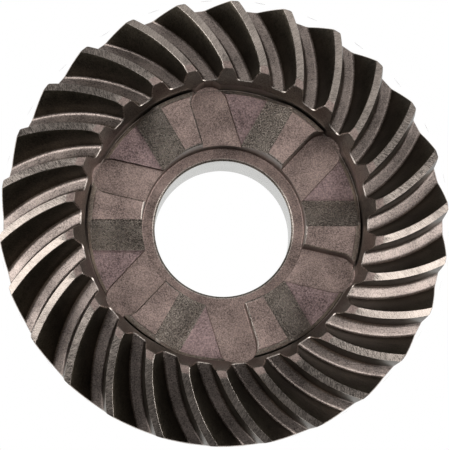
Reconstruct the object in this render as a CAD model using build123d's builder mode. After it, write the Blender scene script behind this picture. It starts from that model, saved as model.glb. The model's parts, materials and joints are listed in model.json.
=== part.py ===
"""Spiral bevel gear with six clutch dogs, forged and cut from one piece of steel.

The axis is +Z and the toothed side faces up. The origin is on the axis, in the back face of the
hub. Looking down on the teeth, angles grow counter-clockwise from +X.
"""
import os
from math import acos, atan, cos, degrees, hypot, pi, radians, sin, tan

from build123d import *

# ---- Driving dimensions, mm and degrees ----------------------------------------------------------
overall_height = 38.0           # back face of the hub to the faced tooth tips

# Teeth. The face, pitch and root cones share one apex on the axis.
tooth_count = 26
pitch_slope = 25.5              # fall of the pitch cone, below the horizontal
apex_above_toe = 15.2           # pitch apex, above the faced tooth tips
toe_distance = 40.0             # apex to the toe, along the pitch cone
addendum_at_toe = 2.84
dedendum_at_toe = 2.84
top_land = 1.95                 # width of a tooth tip round the gear, the same from toe to heel
root_corner = 3.4               # width of a tooth space between its sharp bottom corners
root_corner_break = 0.75        # flat that stands for the rounding of the bottom corners
flank_bulge = 0.14              # rise of the flank's curve over its chord
spiral_angle = 28.3             # at the middle of the face
cutter_radius = 47.6            # the round cutter that sweeps the lengthwise curve
middle_distance = 50.0          # where the spiral angle is measured, along the pitch cone
toe_space_azimuth = 12.5        # middle of one tooth space, at the toe

# Rim
heel_radius = 54.8              # at the tooth tips
heel_draft = 4.7                # lean of the heel surface, off the axis
rim_edge_height = 19.5          # lower edge of the heel surface
rim_chamfer = 1.1
toe_radius = 36.8               # at the tooth tips
toe_lean = 23.0                 # lean of the toe ends of the teeth, off the axis

# Recess, dog ring and bore
toe_wall_run = 2.9              # how far the toe wall leans in, from the tooth tips to the recess
groove_width = 0.55             # relief groove round the dog ring
gap_bevel = 0.6                 # bevel at the outer edge of the rough flats
dog_bevel_width = 1.25          # bevel round the outside of the dogs' tops
dog_bevel_drop = 1.05
dog_top_height = 30.4
dog_edge_break = 0.3            # small chamfer on the inner and the driving edges of the dogs
counterbore_radius = 20.05
counterbore_floor_height = 18.8
counterbore_corner = 0.4        # cone between the counterbore's wall and its floor
bore_radius = 16.85
bore_chamfer = 0.5

# Dogs: six times a milled pocket, a driving wall, a flat top and a ramp
dog_count = 6
pocket_floor_height = 23.6
pocket_width = 9.25
pocket_azimuth = 47.0           # direction in which the first pocket runs outwards
pocket_offset = 5.45            # from the axis to the pocket's centre line
pocket_bite = 0.9               # how far the round end of a pocket cuts into the toe wall
ramp_azimuth = 0.0              # direction of the first ramp's level lines
ramp_top_offset = 1.1           # from the axis to the ramp's top edge
ramp_run = 7.55                 # width of the ramp in plan
ramp_foot_height = 24.7         # height of the rough flat beyond the ramp

# Back side
hub_radius = 26.0
hub_chamfer = 1.2
thrust_face_height = 10.0
thrust_face_radius = 36.5
hub_corner_rise = 1.2           # cone between the hub and the thrust face

# ---- Derived sizes -------------------------------------------------------------------------------
apex_height = overall_height + apex_above_toe
addendum_share = addendum_at_toe / toe_distance     # addendum for each mm of cone distance
dedendum_share = dedendum_at_toe / toe_distance
pitch_fall = radians(pitch_slope)
face_fall = pitch_fall - atan(addendum_share)
recess_radius = toe_radius - toe_wall_run
dog_ring_radius = recess_radius - groove_width
dog_top_radius = dog_ring_radius - dog_bevel_width
cutter_clearance = top_land                         # how far the cutters run out into the open
above_all = overall_height + cutter_clearance


def face_height(radius):
    """Height of the face cone, which holds the tooth tips, at a radius."""
    return apex_height - radius * tan(face_fall)


def cutter_turn(distance):
    """Angle of the cutter's circle about the apex at a cone distance, in the flattened pitch cone."""
    middle = radians(spiral_angle)
    to_centre = middle_distance**2 + cutter_radius**2
    to_centre = (to_centre - 2 * middle_distance * cutter_radius * sin(middle)) ** 0.5
    across = distance**2 + to_centre**2 - cutter_radius**2
    return acos(across / (2 * distance * to_centre))


def space_azimuth(distance):
    """Azimuth of the middle of the first tooth space at a cone distance, in degrees."""
    turn = (cutter_turn(toe_distance) - cutter_turn(distance)) / cos(pitch_fall)
    return toe_space_azimuth + degrees(turn)


def space_plane(distance):
    """Plane square to the pitch cone's element: X runs round the gear, Y stands on the cone."""
    azimuth = radians(space_azimuth(distance))
    radius = distance * cos(pitch_fall)
    height = apex_height - distance * sin(pitch_fall)
    along = (cos(azimuth) * cos(pitch_fall), sin(azimuth) * cos(pitch_fall), -sin(pitch_fall))
    return Plane(
        origin=(radius * cos(azimuth), radius * sin(azimuth), height),
        x_dir=(-sin(azimuth), cos(azimuth), 0),
        z_dir=along,
    )


# ---- Tooth space: the solid that one pass of the cutter takes away --------------------------------
# Its section shrinks towards the apex. The loft runs along the cutter's arc and past both ends.
first_distance = toe_distance - 2 * cutter_clearance
last_distance = heel_radius / cos(pitch_fall) + 2 * cutter_clearance
station_count = 6

with BuildPart() as tooth_space:
    for station in range(station_count):
        share = station / (station_count - 1)
        cone_distance = first_distance + share * (last_distance - first_distance)
        addendum = addendum_share * cone_distance
        dedendum = dedendum_share * cone_distance
        tip_radius = cone_distance * cos(pitch_fall) + addendum * sin(pitch_fall)
        tip_width = 2 * pi * tip_radius / tooth_count - top_land
        opening = (tip_width - root_corner) / (addendum + dedendum) / 2
        half_top = tip_width / 2 + cutter_clearance * opening
        flank_top = (half_top, addendum + cutter_clearance)
        flank_foot = (root_corner / 2, -dedendum)
        flank_middle = ((half_top + root_corner / 2) / 2, (flank_top[1] + flank_foot[1]) / 2)
        flank_length = hypot(half_top - root_corner / 2, flank_top[1] - flank_foot[1])
        bulge_x = flank_bulge * (flank_top[1] - flank_foot[1]) / flank_length
        bulge_y = flank_bulge * (half_top - root_corner / 2) / flank_length
        flank_rise = (flank_middle[0] - bulge_x, flank_middle[1] + bulge_y)
        with BuildSketch(space_plane(cone_distance)) as section:
            with BuildLine():
                Line((-half_top, flank_top[1]), flank_top)
                ThreePointArc(flank_top, flank_rise, flank_foot)
                Line(flank_foot, (-flank_foot[0], flank_foot[1]))
                ThreePointArc(
                    (-flank_foot[0], flank_foot[1]),
                    (-flank_rise[0], flank_rise[1]),
                    (-half_top, flank_top[1]),
                )
            make_face()
            chamfer(section.vertices().group_by(Axis.Y)[0], root_corner_break)
    loft()

# ---- Pocket and ramp: what is cut away between the dogs --------------------------------------------
pocket_end_radius = pocket_width / 2
pocket_reach = recess_radius + pocket_bite
pocket_end_centre = (pocket_reach**2 - pocket_offset**2) ** 0.5 - pocket_end_radius
pocket_start = counterbore_radius / 2               # inside the counterbore, in the open

with BuildPart() as pocket:
    with BuildSketch(Plane.XY.offset(pocket_floor_height)):
        with PolarLocations(0, dog_count, start_angle=pocket_azimuth):
            with Locations(((pocket_start + pocket_end_centre) / 2, -pocket_offset)):
                Rectangle(pocket_end_centre - pocket_start, pocket_width)
            with Locations((pocket_end_centre, -pocket_offset)):
                Circle(pocket_end_radius)
    extrude(amount=above_all - pocket_floor_height)

groove_middle_radius = (dog_ring_radius + recess_radius) / 2
pocket_side = (-sin(radians(pocket_azimuth)), cos(radians(pocket_azimuth)), 0)
pocket_centre_plane = Plane(
    origin=(-pocket_offset * pocket_side[0], -pocket_offset * pocket_side[1], 0),
    z_dir=pocket_side,
)

with BuildPart() as ramp_gap:
    with BuildSketch(Plane.YZ.rotated((0, 0, ramp_azimuth))):
        with BuildLine():
            Polyline(
                (-ramp_top_offset, dog_top_height),
                (ramp_run - ramp_top_offset, ramp_foot_height),
                (dog_ring_radius, ramp_foot_height),
                (dog_ring_radius, above_all),
                (-ramp_top_offset, above_all),
                close=True,
            )
        make_face()
    extrude(amount=recess_radius)
    split(bisect_by=pocket_centre_plane, keep=Keep.BOTTOM)
    Cylinder(
        groove_middle_radius,
        above_all,
        align=(Align.CENTER, Align.CENTER, Align.MIN),
        mode=Mode.INTERSECT,
    )

# ---- The gear ----------------------------------------------------------------------------------
toe_wall_foot = overall_height - (toe_radius - recess_radius) / tan(radians(toe_lean))
toe_flat_radius = apex_above_toe / tan(face_fall)   # where the face cone meets the faced tips
heel_top = face_height(heel_radius)
rim_edge_radius = heel_radius - (heel_top - rim_edge_height) * tan(radians(heel_draft))

with BuildPart() as spiral_bevel_gear:
    with BuildSketch(Plane.XZ):
        with BuildLine():
            Polyline(
                (bore_radius + bore_chamfer, 0),
                (hub_radius - hub_chamfer, 0),
                (hub_radius, hub_chamfer),
                (hub_radius, thrust_face_height - hub_corner_rise),
                (hub_radius + hub_corner_rise, thrust_face_height),
                (thrust_face_radius, thrust_face_height),
                (rim_edge_radius - rim_chamfer, rim_edge_height - rim_chamfer),
                (rim_edge_radius, rim_edge_height),
                (heel_radius, heel_top),
                (toe_flat_radius, overall_height),
                (toe_radius, overall_height),
                (recess_radius, toe_wall_foot),
                (recess_radius, pocket_floor_height),
                (dog_ring_radius, pocket_floor_height),
                (dog_ring_radius, dog_top_height - dog_bevel_drop),
                (dog_top_radius, dog_top_height),
                (counterbore_radius + dog_edge_break, dog_top_height),
                (counterbore_radius, dog_top_height - dog_edge_break),
                (counterbore_radius, counterbore_floor_height + counterbore_corner),
                (counterbore_radius - counterbore_corner, counterbore_floor_height),
                (bore_radius + bore_chamfer, counterbore_floor_height),
                (bore_radius, counterbore_floor_height - bore_chamfer),
                (bore_radius, bore_chamfer),
                close=True,
            )
        make_face()
    revolve(axis=Axis.Z)
    add(pocket.part, mode=Mode.SUBTRACT)
    # The edges of the pockets are broken first, because the ramps then cut away all but the dogs' own.
    straight_edges = spiral_bevel_gear.edges().filter_by(GeomType.LINE)
    chamfer(
        straight_edges.filter_by_position(Axis.Z, dog_top_height, dog_top_height),
        dog_edge_break,
    )
    with PolarLocations(0, dog_count):
        add(ramp_gap.part, mode=Mode.SUBTRACT)
    round_edges = spiral_bevel_gear.edges().filter_by(GeomType.CIRCLE)
    flat_edges = round_edges.filter_by_position(Axis.Z, ramp_foot_height, ramp_foot_height)
    chamfer(flat_edges.group_by(SortBy.RADIUS)[-1], gap_bevel)
    with PolarLocations(0, tooth_count):
        add(tooth_space.part, mode=Mode.SUBTRACT)

spiral_bevel_gear.part.label = "spiral_bevel_gear"
os.makedirs("parts", exist_ok=True)
export_step(spiral_bevel_gear.part, "parts/spiral_bevel_gear.step")
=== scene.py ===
# %% [markdown]
# # A spiral bevel gear with clutch dogs
#
# This gear turns the power of an upright shaft onto a propeller shaft. It is one steel forging.
# Its teeth are curved, because each pass of a round cutter sweeps an arc, and the ring inside the
# teeth has six dogs that a sliding clutch grips. We load the engineer's solid as a fixed frame,
# then make a finer mesh of the same sizes, give it steel, and light it like a small part on a table.

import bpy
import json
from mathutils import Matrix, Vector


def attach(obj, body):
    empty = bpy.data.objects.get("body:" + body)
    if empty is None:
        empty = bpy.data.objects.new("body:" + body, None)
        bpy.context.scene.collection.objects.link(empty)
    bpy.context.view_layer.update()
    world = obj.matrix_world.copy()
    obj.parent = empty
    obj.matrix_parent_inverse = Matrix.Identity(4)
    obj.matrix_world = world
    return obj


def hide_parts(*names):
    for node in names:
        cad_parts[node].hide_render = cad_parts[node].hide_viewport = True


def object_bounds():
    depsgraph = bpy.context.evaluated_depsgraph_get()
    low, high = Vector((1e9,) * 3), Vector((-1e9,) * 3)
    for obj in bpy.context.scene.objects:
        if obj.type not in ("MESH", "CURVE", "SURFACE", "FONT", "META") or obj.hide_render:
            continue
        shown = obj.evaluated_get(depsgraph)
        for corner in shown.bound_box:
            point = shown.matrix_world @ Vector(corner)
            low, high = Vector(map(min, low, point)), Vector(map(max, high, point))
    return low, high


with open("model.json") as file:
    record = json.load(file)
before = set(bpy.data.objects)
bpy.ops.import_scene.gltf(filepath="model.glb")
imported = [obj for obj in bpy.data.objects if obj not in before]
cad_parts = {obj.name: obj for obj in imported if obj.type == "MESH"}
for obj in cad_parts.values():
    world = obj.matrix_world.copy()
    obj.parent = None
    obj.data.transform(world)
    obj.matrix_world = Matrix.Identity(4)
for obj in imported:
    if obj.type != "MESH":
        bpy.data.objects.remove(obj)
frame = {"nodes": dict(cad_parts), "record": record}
cad_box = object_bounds()
print("frame nodes:", sorted(frame["nodes"]))
print("CAD box, m:", [[round(v, 5) for v in corner] for corner in cad_box])

# %% [markdown]
# ## Sizes
#
# Gear sizes are easiest to think about in millimetres and degrees, as on a drawing, so the meshes
# are made in millimetres and scaled once at the end. What the frame already knows, such as the
# height, the hub and the bore, is read from it; the outside radius is given. A cone is given by its
# apex and slope: the face cone holds the tooth tips, the root cone the bottoms of the spaces, and the
# pitch cone lies between them. All three meet in one apex on the axis.

# %% Overall sizes from the frame
from math import acos, atan, cos, degrees, hypot, pi, radians, sin, tan

import bmesh
import bpy
from mathutils import Matrix, Vector

MM = 0.001
mounts = {m["name"]: m for m in frame["record"]["mounts"]}
bore_radius = mounts["bore"]["dims"]["r_mm"]
hub_radius = mounts["hub"]["dims"]["r_mm"]
thrust_face_height = mounts["thrust_face"]["pos_m"][2] / MM
overall_height = cad_box[1][2] / MM
heel_radius = 54.8
print("bore", bore_radius, "hub", hub_radius, "height", round(overall_height, 3))

# %% Sizes of the teeth
tooth_count = 26
pitch_fall = radians(25.5)       # the pitch cone's fall below the horizontal
apex_height = overall_height + 15.2
toe_distance = 40.0              # from the apex to the inner ends of the teeth
addendum_share = 2.84 / toe_distance
dedendum_share = 2.84 / toe_distance
face_fall = pitch_fall - atan(addendum_share)
top_land = 1.95
root_corner = 3.4
print("face cone falls", round(degrees(face_fall), 2), "degrees")

# %% [markdown]
# ## Finishes, named before the shapes
#
# Each cut leaves its own surface on the steel: the lathe leaves fine rings, the gear cutter long
# strokes, the end mill a fine grain, and the forging die a rough skin. So each cutter below carries
# the finish that it leaves, and the boolean hands that finish to the faces that it makes.

# %% One material for each finish
FINISHES = ["turned", "land", "toe_wall", "milled", "low_flat", "ramp"]
FINISHES += ["bevel", "flank", "root", "edge", "bored"]
finish = {name: bpy.data.materials.new(name + "_steel") for name in FINISHES}
print("finishes:", ", ".join(FINISHES))

# %% [markdown]
# ## The blank
#
# Like the real gear, the model begins as a turned blank: one outline spun round the axis. The
# outline holds the small rounded corners that catch the light at the bore and the counterbore,
# because a perfectly sharp edge never shines. Corners are rounded by a helper that swaps a corner
# point for a short arc.

# %% A helper that rounds the corners of an outline
def rounded(outline, steps=4):
    """Turn corners (r, z, radius, finish) into points (r, z) with a finish.

    Where a corner has a radius, an arc takes its place.
    """
    points = []
    for i, (r, z, radius, leaves) in enumerate(outline):
        here = Vector((r, z))
        if not radius:
            points.append((here, leaves))
            continue
        before = (Vector(outline[i - 1][:2]) - here).normalized()
        after = (Vector(outline[(i + 1) % len(outline)][:2]) - here).normalized()
        half = before.angle(after) / 2
        start = here + before * (radius / tan(half))
        end = here + after * (radius / tan(half))
        centre = here + (before + after).normalized() * (radius / sin(half))
        for step in range(steps + 1):
            spoke = (start - centre).slerp(end - centre, step / steps).normalized()
            points.append((centre + spoke * radius, leaves))
    return points


corner_test = [(0, 0, 0, "turned"), (4, 0, 1, "turned"), (4, 4, 0, "turned")]
print("a rounded corner has", len(rounded(corner_test)) - 2, "points")

# %% The blank's outline
rim_edge_height = 19.5
heel_top = apex_height - heel_radius * tan(face_fall)
heel_draft = radians(4.7)
rim_edge_radius = heel_radius - (heel_top - rim_edge_height) * tan(heel_draft)
toe_radius = 36.8
toe_flat_radius = (apex_height - overall_height) / tan(face_fall)
toe_lean = radians(23)
recess_radius = 33.9
toe_wall_foot = overall_height - (toe_radius - recess_radius) / tan(toe_lean)
pocket_floor = 23.6
dog_ring_radius = 33.35
dog_top = 30.4
counterbore_radius = 20.05
counterbore_floor = 18.8
bore_lip = 0.5
hub_corner = 1.2
back_flat_radius = 36.5          # where the flat back ends and the back cone begins
rim_corner = 1.1
bevel_drop = 1.05
bevel_width = 1.25
counterbore_lip = 0.3
blank_outline = [
    (bore_radius, bore_lip, 0.2, "turned"),
    (bore_radius + bore_lip, 0, 0.2, "turned"),
    (hub_radius - hub_corner, 0, 0.3, "turned"),
    (hub_radius, hub_corner, 0.3, "turned"),
    (hub_radius, thrust_face_height - hub_corner, 0.6, "turned"),
    (hub_radius + hub_corner, thrust_face_height, 0.6, "turned"),
    (back_flat_radius, thrust_face_height, 0.8, "turned"),
    (rim_edge_radius - rim_corner, rim_edge_height - rim_corner, 0.6, "turned"),
    (rim_edge_radius, rim_edge_height, 0.6, "turned"),
    (heel_radius, heel_top, 0.25, "land"),
    (toe_flat_radius, overall_height, 0, "turned"),
    (toe_radius, overall_height, 0.25, "toe_wall"),
    (recess_radius, toe_wall_foot, 1.5, "toe_wall"),
    (recess_radius, pocket_floor, 0.2, "toe_wall"),
    (dog_ring_radius, pocket_floor, 0.2, "toe_wall"),
    (dog_ring_radius, dog_top - bevel_drop, 0.3, "bevel"),
    (dog_ring_radius - bevel_width, dog_top, 0.5, "milled"),
    (counterbore_radius + counterbore_lip, dog_top, 0.1, "edge"),
    (counterbore_radius, dog_top - counterbore_lip, 0.1, "toe_wall"),
    (counterbore_radius, counterbore_floor, 0.4, "milled"),
    (bore_radius + bore_lip, counterbore_floor, 0.2, "edge"),
    (bore_radius, counterbore_floor - bore_lip, 0.2, "bored"),
]
print("blank outline:", len(blank_outline), "corners")


# %% Spin the outline
def mesh_object(name, build):
    """A new object whose mesh, in millimetres, is filled by build and gets outward normals."""
    shell = bmesh.new()
    build(shell)
    bmesh.ops.recalc_face_normals(shell, faces=shell.faces)
    mesh = bpy.data.meshes.new(name)
    for material in finish.values():
        mesh.materials.append(material)
    shell.to_mesh(mesh)
    shell.free()
    body = bpy.data.objects.new(name, mesh)
    bpy.context.scene.collection.objects.link(body)
    return body


def quads_between(shell, loop_a, loop_b, leaves, closed=True):
    """Four-sided faces between two rows of vertices, with one finish or a list of them."""
    count = len(loop_a) if closed else len(loop_a) - 1
    for i in range(count):
        j = (i + 1) % len(loop_a)
        face = shell.faces.new((loop_a[i], loop_a[j], loop_b[j], loop_b[i]))
        face.material_index = FINISHES.index(leaves if isinstance(leaves, str) else leaves[i])


def spin_blank(shell, turns=12 * tooth_count):
    profile = rounded(blank_outline)
    leaves = [name for _, name in profile]
    rows = []
    for turn in range(turns):
        angle = 2 * pi * turn / turns
        rows.append([shell.verts.new((r * cos(angle), r * sin(angle), z)) for (r, z), _ in profile])
    for turn in range(turns):
        quads_between(shell, rows[turn], rows[(turn + 1) % turns], leaves)


gear = mesh_object("spiral_bevel_gear_steel", spin_blank)
print("blank:", len(gear.data.polygons), "faces")

# %% [markdown]
# ## The tooth spaces
#
# Teeth are what is left between the spaces, so we model the space: the slot that one pass of the
# cutter takes away. Its section is a trapezoid with slightly curved sides and rounded bottom
# corners, and it shrinks towards the cones' shared apex. Along the tooth it follows an arc, which
# is worked out on the pitch cone laid flat, where the cutter's path is a true circle.

# %% Where a tooth space lies
spiral_angle = radians(28.3)     # at the middle of the face
cutter_radius = 47.6
middle_distance = 50.0
toe_space_azimuth = radians(12.5)


def cutter_turn(distance):
    """Angle of the cutter's circle about the apex, in the flattened pitch cone."""
    to_centre = middle_distance**2 + cutter_radius**2
    to_centre = (to_centre - 2 * middle_distance * cutter_radius * sin(spiral_angle)) ** 0.5
    across = distance**2 + to_centre**2 - cutter_radius**2
    return acos(across / (2 * distance * to_centre))


def space_azimuth(distance):
    turn = (cutter_turn(toe_distance) - cutter_turn(distance)) / cos(pitch_fall)
    return toe_space_azimuth + turn


def space_point(distance, across, height):
    """A point of the first space: across it, and above the pitch cone, at a cone distance."""
    azimuth = space_azimuth(distance)
    along = Vector((cos(azimuth) * cos(pitch_fall), sin(azimuth) * cos(pitch_fall), -sin(pitch_fall)))
    round_gear = Vector((-sin(azimuth), cos(azimuth), 0))
    off_cone = along.cross(round_gear)
    apex = Vector((0, 0, apex_height))
    return apex + along * distance + round_gear * across + off_cone * height


turn_along_face = space_azimuth(60) - space_azimuth(toe_distance)
print("a space turns", round(degrees(turn_along_face), 1), "degrees out to 60 mm")

# %% The section of a tooth space
root_fillet = 1.1
flank_bulge = 0.14
edge_break = 0.2                 # the small flat that is filed along the tooth edges
flare = 0.7                      # how far the cutter widens past the tip


def tip_height(distance):
    """Height of the tooth tip over the pitch cone: the face cone, or the faced-off inner tips."""
    faced = (distance * sin(pitch_fall) - (apex_height - overall_height)) / cos(pitch_fall)
    return min(addendum_share * distance, faced)


def half_section(distance):
    """The right half of the section, from the middle of the root up past the tip: (x, y) points."""
    addendum = addendum_share * distance
    root = -dedendum_share * distance
    tip_radius = distance * cos(pitch_fall) + addendum * sin(pitch_fall)
    tip = Vector((pi * tip_radius / tooth_count - top_land / 2, addendum))
    foot = Vector((root_corner / 2, root))
    side = tip - foot
    into_space = Vector((-side.y, side.x)).normalized()
    lean = side.angle(Vector((-1, 0)))
    tangent = root_fillet / tan(lean / 2)
    centre = Vector((foot.x - tangent, root + root_fillet))
    points = [Vector((0, root)), Vector((centre.x * 0.5, root))]
    for step in range(6):
        turn = (pi - lean) * step / 5
        points.append(centre + root_fillet * Vector((sin(turn), -cos(turn))))
    first = tangent / side.length
    last = (tip_height(distance) - edge_break - root) / side.y
    for step in range(1, 9):
        share = first + (last - first) * step / 8
        bulge = 4 * flank_bulge * (share - first) * (1 - share) / (1 - first) ** 2
        points.append(foot + side * share + into_space * bulge)
    points.append(points[-1] + Vector((flare, flare)))
    return points


section = half_section(middle_distance)
print("half a section has", len(section), "points, from", tuple(round(v, 2) for v in section[0]),
      "to", tuple(round(v, 2) for v in section[-1]))


# %% Sweep the section from toe to heel
def toe_wall_radius(height):
    return recess_radius + (height - toe_wall_foot) * tan(toe_lean)


def heel_wall_radius(height):
    return rim_edge_radius + (height - rim_edge_height) * tan(heel_draft)


def distance_at_wall(index, wall_radius, low, high):
    """Cone distance at which a point of the section meets a wall of the blank, by halving."""
    for _ in range(30):
        middle = (low + high) / 2
        across, height = half_section(middle)[index]
        point = space_point(middle, across, height)
        if hypot(point.x, point.y) < wall_radius(point.z):
            low = middle
        else:
            high = middle
    return high


def section_normals(points):
    """Directions square to a half section, pointing out of the space."""
    normals = []
    for i in range(len(points)):
        run = points[min(i + 1, len(points) - 1)] - points[max(i - 1, 0)]
        normals.append(Vector((run.y, -run.x)).normalized())
    normals[0] = Vector((0, -1))
    return normals


toe_stops = [distance_at_wall(i, toe_wall_radius, 34, 48) for i in range(len(section))]
heel_stops = [distance_at_wall(i, heel_wall_radius, 52, 68) for i in range(len(section))]
print("the space meets the toe wall at", round(min(toe_stops), 2), "to", round(max(toe_stops), 2), "mm")


end_run_out = 0.5                # how far the cutter runs out past each wall


def section_row(part, spread):
    """One row of 3-D points across the space. part runs from 0 at the toe to 1 at the heel."""
    row = []
    for i, (toe, heel) in enumerate(zip(toe_stops, heel_stops)):
        distance = toe + edge_break + (heel - toe - 2 * edge_break) * min(max(part, 0), 1)
        if part < 0:
            distance = toe - end_run_out
        if part > 1:
            distance = heel + end_run_out
        points = half_section(distance)
        place = points[i] + section_normals(points)[i] * spread
        row.append((distance, place))
    right = [space_point(d, p.x, p.y) for d, p in row]
    left = [space_point(d, -p.x, p.y) for d, p in row[:0:-1]]
    return left + right


def sweep_spaces(shell, steps=26):
    wide = end_run_out + edge_break
    parts = [(-1, wide)] + [(step / steps, 0) for step in range(steps + 1)] + [(2, wide)]
    rows_of_points = [section_row(part, spread) for part, spread in parts]
    half = ["root"] * 6 + ["flank"] * 9 + ["edge"]
    across = half[::-1] + half + ["edge"]
    for tooth in range(tooth_count):
        spin = Matrix.Rotation(2 * pi * tooth / tooth_count, 3, "Z")
        rows = [[shell.verts.new(spin @ point) for point in row] for row in rows_of_points]
        for i, (row, next_row) in enumerate(zip(rows, rows[1:])):
            quads_between(shell, row, next_row, "edge" if i in (0, len(rows) - 2) else across)
        for end in (rows[0], rows[-1]):
            last = len(end) - 1
            for i in range(len(end) // 2):
                corners = [end[i], end[i + 1], end[last - i - 1], end[last - i]]
                if i + 1 == last - i - 1:
                    corners.pop(2)
                shell.faces.new(corners)


tooth_spaces = mesh_object("tooth_spaces", sweep_spaces)
print("tooth spaces:", len(tooth_spaces.data.polygons), "faces")

# %% [markdown]
# ## Pockets and ramps between the dogs
#
# The six dogs are what stands after two cuts, repeated six times. An end mill runs a straight
# pocket outwards, a little to one side of the axis, and its round end just scallops the toe wall;
# one side of the pocket is the upright driving wall of a dog. Beside it lies a rough ramp, left
# from forging, which lets the clutch slip over the dogs the other way. Both cutters are closed
# meshes: the pocket is a stack of outlines, the ramp a grid of points under a lid.

# %% The pockets
dog_count = 6
pocket_half_width = 9.25 / 2
pocket_azimuth = radians(47)
pocket_offset = 5.45
pocket_reach = 34.8
pocket_end = (pocket_reach**2 - pocket_offset**2) ** 0.5 - pocket_half_width
cutter_top = overall_height + 3
dog_edge_limit = 33.6            # the edge breaks stop short of the toe wall


def pocket_outline(half_width, start=10.0, limit=None, steps=24):
    """The U-shaped outline of a pocket that runs along +X, its centre line below the axis."""
    outline = [Vector((start, -half_width - pocket_offset))]
    for step in range(steps + 1):
        turn = -pi / 2 + pi * step / steps
        x = pocket_end + half_width * cos(turn)
        y = half_width * sin(turn) - pocket_offset
        shrink = min(1.0, limit / hypot(x, y)) if limit else 1.0
        outline.append(Vector((x * shrink, y * shrink)))
    outline.append(Vector((start, half_width - pocket_offset)))
    return outline


def stack(shell, outlines, spin, leaves):
    """A closed solid through (outline, height) pairs; leaves names the finish of each level."""
    rows = [[shell.verts.new(spin @ Vector((x, y, z))) for x, y in outline] for outline, z in outlines]
    for row, next_row, name in zip(rows, rows[1:], leaves[1:]):
        quads_between(shell, row, next_row, name)
    shell.faces.new(rows[0]).material_index = FINISHES.index(leaves[0])
    shell.faces.new(rows[-1])


def cut_pockets(shell):
    floor_fillet = 0.45
    for dog in range(dog_count):
        spin = Matrix.Rotation(pocket_azimuth + 2 * pi * dog / dog_count, 3, "Z")
        levels = []
        for step in range(4):
            turn = pi / 2 * step / 3
            inset = floor_fillet * (1 - sin(turn))
            height = pocket_floor + floor_fillet * (1 - cos(turn))
            levels.append((pocket_outline(pocket_half_width - inset), height))
        levels.append((pocket_outline(pocket_half_width), cutter_top))
        stack(shell, levels, spin, ["milled"] * 4 + ["toe_wall"])


def break_pocket_edges(shell):
    width = 0.3
    clear = 0.2
    for dog in range(dog_count):
        spin = Matrix.Rotation(pocket_azimuth + 2 * pi * dog / dog_count, 3, "Z")
        low = pocket_outline(pocket_half_width, limit=dog_edge_limit)
        high = pocket_outline(pocket_half_width + width + clear, limit=dog_edge_limit)
        stack(shell, [(low, dog_top - width), (high, dog_top + clear)], spin, ["edge", "edge"])


pockets = mesh_object("pockets", cut_pockets)
pocket_edges = mesh_object("pocket_edges", break_pocket_edges)
furthest = max(point.length for point in pocket_outline(pocket_half_width))
print("pockets reach", round(furthest, 2), "mm from the axis")

# %% The ramps
ramp_top_offset = 1.1
ramp_run = 7.55
low_flat = 24.7
ramp_inner_radius = 13.0
gap_bevel_radius = 32.7
gap_bevel_drop = 0.8
gap_outer_radius = (dog_ring_radius + recess_radius) / 2


def ramp_height(across):
    """Height of the gap's bottom, at a distance beyond the ramp's top edge."""
    slope = (dog_top - low_flat) / ramp_run
    if across < 0.5:
        return dog_top + 0.08 - slope * max(across - 0.12, 0) * (0.5 + across)
    if across < ramp_run - 0.6:
        return dog_top - slope * across
    blend = min((across - ramp_run + 0.6) / 1.2, 1.0)
    return low_flat + slope * 0.6 * (1 - blend) ** 2


def cut_ramps(shell, columns=40):
    spots = [0.0, 0.12, 0.25, 0.38, 0.5] + [0.5 + 0.45 * i for i in range(1, 16)]
    spots += [ramp_run + 0.3 * i for i in range(1, 4)] + [ramp_run + 1.0 + i for i in range(0, 14)]
    for dog in range(dog_count):
        spin = Matrix.Rotation(2 * pi * dog / dog_count, 3, "Z")
        floor_rows, lid_rows = [], []
        for across in spots:
            w = across - ramp_top_offset
            pocket_line = (w * cos(pocket_azimuth) + pocket_offset) / sin(pocket_azimuth)
            inner = max(ramp_inner_radius, pocket_line)
            bevel_start = (gap_bevel_radius**2 - w**2) ** 0.5
            outer = (gap_outer_radius**2 - w**2) ** 0.5
            if inner > bevel_start - 1.0:
                break
            stops = [inner + (bevel_start - inner) * c / columns for c in range(columns + 1)]
            floor = [(x, w, ramp_height(across)) for x in stops]
            floor.append((outer, w, ramp_height(across) - gap_bevel_drop * min(1.0, across / 2)))
            floor_rows.append([shell.verts.new(spin @ Vector(p)) for p in floor])
            lid = [(x, y, cutter_top) for x, y, _ in floor]
            lid_rows.append([shell.verts.new(spin @ Vector(p)) for p in lid])
        for i, (row, next_row) in enumerate(zip(floor_rows, floor_rows[1:])):
            name = "ramp" if spots[i] < ramp_run - 0.3 else "low_flat"
            quads_between(shell, row, next_row, [name] * columns + ["bevel"], closed=False)
            quads_between(shell, lid_rows[i], lid_rows[i + 1], name, closed=False)
        for edge in (0, -1):
            quads_between(shell, floor_rows[edge], lid_rows[edge], "milled", closed=False)
            floor_edge = [row[edge] for row in floor_rows]
            lid_edge = [row[edge] for row in lid_rows]
            quads_between(shell, floor_edge, lid_edge, "milled", closed=False)


ramps = mesh_object("ramps", cut_ramps)
print("ramps:", len(ramps.data.polygons), "faces")

# %% [markdown]
# ## Cut the blank
#
# A boolean takes one closed mesh away from another. Blender's manifold solver is quick and gives a
# clean closed mesh, as long as each operand is closed and its own pieces don't overlap.

# %% Take the cutters away
def cut(target, cutter):
    step = target.modifiers.new("cut", "BOOLEAN")
    step.operation = "DIFFERENCE"
    step.solver = "MANIFOLD"
    step.object = cutter
    step.material_mode = "TRANSFER"
    bpy.context.view_layer.update()
    evaluated = target.evaluated_get(bpy.context.evaluated_depsgraph_get())
    result = bpy.data.meshes.new_from_object(evaluated)
    target.modifiers.clear()
    target.data = result
    bpy.data.objects.remove(cutter)
    print("after the cut:", len(target.data.polygons), "faces")


for cutter in (pockets, pocket_edges, ramps, tooth_spaces):
    cut(gear, cutter)

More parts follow.
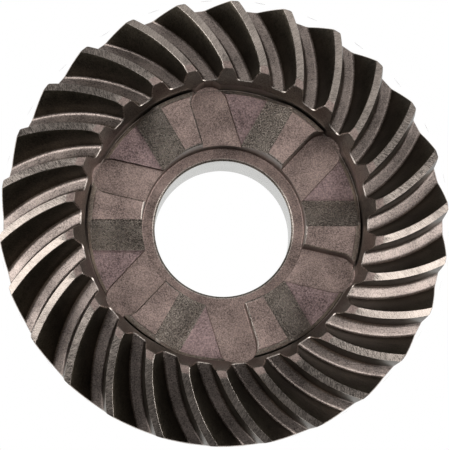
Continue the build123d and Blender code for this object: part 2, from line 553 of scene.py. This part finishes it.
# %% [markdown]
# ## Finish the mesh
#
# The cut mesh is scaled to metres. Faces are shaded smooth, and an edge stays crisp where its two
# faces meet at more than a small angle, so the fillets look round and the flats look flat.

# %% Scale, shade and hand over
def finish_mesh(body, crisp_angle=radians(24)):
    shell = bmesh.new()
    shell.from_mesh(body.data)
    bmesh.ops.remove_doubles(shell, verts=shell.verts, dist=0.002)
    bmesh.ops.dissolve_degenerate(shell, edges=shell.edges, dist=0.001)
    for face in shell.faces:
        face.smooth = True
    for edge in shell.edges:
        edge.smooth = edge.calc_face_angle(pi) < crisp_angle
    bmesh.ops.scale(shell, vec=(MM, MM, MM), verts=shell.verts)
    shell.to_mesh(body.data)
    shell.free()


finish_mesh(gear)
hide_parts("spiral_bevel_gear")
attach(gear, "root")
print("gear:", len(gear.data.polygons), "faces, size in mm",
      [round(v / MM, 2) for v in gear.dimensions])

# %% [markdown]
# ## Steel
#
# The gear is dark because its surface is mostly a mirror of dark surroundings. A thin phosphate
# coat gives the metal a pink-brown tint. All finishes share one recipe: a metal base whose colour
# wanders a little, a fine grain in the roughness, and a bump at the scale of the tool marks.
# The grain of the teeth is drawn out along them. A stretched noise needs a coordinate that bends
# with the teeth, so we turn each point back by the angle that a tooth turns out to its radius.

# %% How fast a tooth turns
face_middle = toe_distance + 8.0
turn_near_middle = space_azimuth(face_middle + 1) - space_azimuth(face_middle - 1)
spiral_rate = turn_near_middle / (2 * cos(pitch_fall) * MM)
print("a tooth turns", round(degrees(spiral_rate * MM), 2), "degrees for each mm of radius")


# %% A helper for node trees
class Nodes:
    """A material's node tree, with short ways to add nodes and join them."""

    def __init__(self, material):
        self.material = material
        material.use_nodes = True
        self.tree = material.node_tree
        self.shader = self.tree.nodes["Principled BSDF"]

    def add(self, kind, inputs=None, **settings):
        node = self.tree.nodes.new(kind)
        for key, value in settings.items():
            setattr(node, key, value)
        for socket, value in (inputs or {}).items():
            if isinstance(value, bpy.types.NodeSocket):
                self.tree.links.new(value, node.inputs[socket])
            else:
                node.inputs[socket].default_value = value
        return node

    def noise(self, scale, detail=2.0, roughness=0.6, place=None):
        place = place or self.add("ShaderNodeTexCoord").outputs["Object"]
        settings = {"Vector": place, "Scale": scale, "Detail": detail, "Roughness": roughness}
        return self.add("ShaderNodeTexNoise", settings).outputs["Fac"]

    def math(self, operation, *values):
        settings = dict(enumerate(values))
        return self.add("ShaderNodeMath", settings, operation=operation).outputs[0]

    def spiral_place(self, mean_radius=0.045, stretch=0.12):
        """A place bent like the teeth, so that noise laid on it is drawn out along them."""
        place = self.add("ShaderNodeTexCoord").outputs["Object"]
        x, y, z = self.add("ShaderNodeSeparateXYZ", {0: place}).outputs
        square = self.math("ADD", self.math("POWER", x, 2.0), self.math("POWER", y, 2.0))
        radius = self.math("SQRT", square)
        turn = self.math("ARCTAN2", x, y)
        back = self.math("MULTIPLY_ADD", radius, -spiral_rate, turn)
        across = self.math("MULTIPLY", back, mean_radius)
        along = self.math("MULTIPLY", radius, stretch)
        return self.add("ShaderNodeCombineXYZ", {0: across, 1: along, 2: z}).outputs[0]

    def ramp(self, value, low, high, dark, light):
        """Map a value between low and high onto two colours."""
        node = self.add("ShaderNodeValToRGB", {"Fac": value})
        node.color_ramp.elements[0].position = low
        node.color_ramp.elements[1].position = high
        node.color_ramp.elements[0].color = (*dark, 1)
        node.color_ramp.elements[1].color = (*light, 1)
        return node.outputs["Color"]


print("node helpers:", [name for name in vars(Nodes) if not name.startswith("_")])


# %% The recipe
wide_patch = 7 * MM              # the size of the slow changes of tone
roughness_spread = 0.1


def steel(name, colour, roughness, grain, depth, contrast=0.5, along_teeth=False):
    """colour is the mean; grain is the size of the marks and depth their height, in millimetres."""
    nodes = Nodes(finish[name])
    place = nodes.spiral_place() if along_teeth else None
    fine = nodes.noise(1 / (grain * MM), detail=3.0, roughness=0.75, place=place)
    wide = nodes.noise(1 / wide_patch, detail=3.0)
    share = nodes.add("ShaderNodeMix", {"Factor": 0.3, 2: fine, 3: wide}).outputs[0]
    dark = tuple(c * (1 - contrast) for c in colour)
    light = tuple(c * (1 + contrast) for c in colour)
    tone = nodes.ramp(share, 0.38, 0.62, dark, light)
    nodes.tree.links.new(tone, nodes.shader.inputs["Base Color"])
    nodes.shader.inputs["Metallic"].default_value = 1.0
    limits = {"To Min": roughness - roughness_spread, "To Max": roughness + roughness_spread}
    rough = nodes.add("ShaderNodeMapRange", {"Value": fine, "From Min": 0.3, "From Max": 0.7, **limits})
    nodes.tree.links.new(rough.outputs[0], nodes.shader.inputs["Roughness"])
    bump = nodes.add("ShaderNodeBump", {"Height": fine, "Distance": depth * MM, "Strength": 1.0})
    nodes.tree.links.new(bump.outputs[0], nodes.shader.inputs["Normal"])


print("slow changes of tone are about", wide_patch / MM, "mm across")

# %% [markdown]
# ## One call for each finish
#
# Most numbers say how each surface was made. The forged ramps have the deepest marks and the lowest
# roughness, so that they sparkle. The flanks' colour is painted dark, as painted shade for the narrow
# space across which they face each other. The bevels and the broken edges are painted light, as
# painted highlights where the lamps catch them.

# %% The finishes
steel("turned", (0.24, 0.185, 0.165), roughness=0.38, grain=0.35, depth=0.05)
steel("land", (0.25, 0.215, 0.19), roughness=0.28, grain=0.40, depth=0.03, contrast=0.4, along_teeth=True)
steel("toe_wall", (0.17, 0.14, 0.12), roughness=0.36, grain=0.35, depth=0.04)
steel("milled", (0.235, 0.175, 0.155), roughness=0.45, grain=0.30, depth=0.07, contrast=0.7)
steel("low_flat", (0.21, 0.15, 0.145), roughness=0.38, grain=0.40, depth=0.16, contrast=0.7)
steel("ramp", (0.25, 0.215, 0.185), roughness=0.26, grain=0.42, depth=0.34, contrast=0.7)
# Painted highlight: the bevels' colour is far lighter than the steel beside them, standing in for the
# lamps' glint.
steel("bevel", (0.70, 0.64, 0.58), roughness=0.42, grain=0.40, depth=0.15, contrast=0.4)
# Painted shade: the flanks' colour is darkened for the narrow space between facing teeth.
steel("flank", (0.085, 0.072, 0.055), roughness=0.40, grain=0.35, depth=0.04, along_teeth=True)
steel("root", (0.23, 0.19, 0.17), roughness=0.34, grain=0.35, depth=0.07, contrast=0.6)
# Painted highlight: the broken edges and chamfers are lighter than the steel beside them, standing in for
# the lamps' glint.
steel("edge", (0.42, 0.37, 0.33), roughness=0.30, grain=0.35, depth=0.03)
steel("bored", (0.50, 0.50, 0.48), roughness=0.30, grain=0.35, depth=0.02, contrast=0.15)
print("materials on the gear:", [m.name for m in gear.data.materials])

# %% [markdown]
# ## The floor
#
# A small part is often shown on a white table. Turning the lamps up until a grey floor looks white
# would also burn out the steel. So the floor stays a plain matt paint for the light that falls on
# it, and only rays from the camera, and rays mirrored or bent on their way to it, see plain white.

# %% Floor
def make_floor():
    bpy.ops.mesh.primitive_plane_add(size=3, location=(0, 0, 0))
    floor = bpy.context.object
    floor.name = "floor"
    paint = Nodes(bpy.data.materials.new("floor_white"))
    paint.shader.inputs["Base Color"].default_value = (0.8, 0.8, 0.8, 1)
    paint.shader.inputs["Roughness"].default_value = 0.9
    rays = paint.add("ShaderNodeLightPath")
    seen = paint.math("MAXIMUM", rays.outputs["Is Camera Ray"], rays.outputs["Is Glossy Ray"])
    seen = paint.math("MAXIMUM", seen, rays.outputs["Is Transmission Ray"])
    glow = paint.add("ShaderNodeEmission", {"Color": (1, 1, 1, 1), "Strength": 1.0})
    mix = paint.add("ShaderNodeMixShader", {0: seen, 1: paint.shader.outputs[0], 2: glow.outputs[0]})
    paint.tree.links.new(mix.outputs[0], paint.tree.nodes["Material Output"].inputs["Surface"])
    floor.data.materials.append(paint.material)
    return floor


floor = make_floor()
print("floor, m:", [round(v, 2) for v in floor.dimensions])

# %% [markdown]
# ## World and lamps
#
# Metal shows its lamps as bright shapes, so large soft boxes suit it best. A wide one overhead
# lights the flats. One on each side puts a streak on the teeth that face it, and a weak one behind
# keeps the far teeth from going black. A dim grey world fills what is left.

# %% World and lamps
world = bpy.data.worlds.new("studio")
bpy.context.scene.world = world
world.use_nodes = True
world.node_tree.nodes["Background"].inputs["Color"].default_value = (0.2, 0.2, 0.2, 1)
world.node_tree.nodes["Background"].inputs["Strength"].default_value = 1.0


lamp_aim = Vector((0, 0, 0.03))


def soft_box(name, azimuth, elevation, distance, width, height, strength):
    """A rectangular lamp that faces the gear from a direction given in degrees."""
    lamp = bpy.data.lights.new(name, "AREA")
    lamp.shape = "RECTANGLE"
    lamp.size = width
    lamp.size_y = height
    lamp.energy = strength * width * height * pi
    body = bpy.data.objects.new(name, lamp)
    a, e = radians(azimuth), radians(elevation)
    body.location = Vector((cos(a) * cos(e), sin(a) * cos(e), sin(e))) * distance + lamp_aim
    body.rotation_euler = (lamp_aim - body.location).to_track_quat("-Z", "Y").to_euler()
    bpy.context.scene.collection.objects.link(body)
    print(name, "gives", round(lamp.energy, 2), "W")


soft_box("overhead_box", azimuth=90, elevation=78, distance=1.6, width=1.9, height=1.5, strength=0.85)
soft_box("back_box", azimuth=75, elevation=32, distance=1.2, width=1.5, height=0.6, strength=1.1)
soft_box("left_box", azimuth=184, elevation=30, distance=1.0, width=0.50, height=1.0, strength=4.6)
soft_box("right_box", azimuth=354, elevation=30, distance=1.0, width=0.55, height=1.0, strength=4.2)

# %% [markdown]
# ## The camera
#
# A long lens about a metre away flattens the gear as a catalogue picture does. The camera looks
# almost straight down, leaning by a few degrees, so that one side of the bore's wall shows.

# %% Camera
camera_data = bpy.data.cameras.new("camera")
camera_data.sensor_fit = "HORIZONTAL"
camera_data.sensor_width = 36.0
camera_data.lens = 320.7
camera_data.clip_end = 10.0
camera = bpy.data.objects.new("camera", camera_data)
camera.location = Vector((-0.0259, -0.1221, 0.9597 + overall_height * MM))
camera.rotation_mode = "QUATERNION"
camera_lean = radians(7.322)
lean_axis = Vector((7.16, -1.53, 0))
camera.rotation_quaternion = Matrix.Rotation(camera_lean, 3, lean_axis).to_quaternion()
bpy.context.scene.collection.objects.link(camera)
bpy.context.scene.camera = camera
bpy.context.scene.view_settings.view_transform = "Standard"
print("camera at", [round(v, 4) for v in camera.location])

# %% [markdown]
# ## The last cell
#
# The finished mesh has to be as large as the engineer's solid. The last cell only imports json.

# %% An import
import json
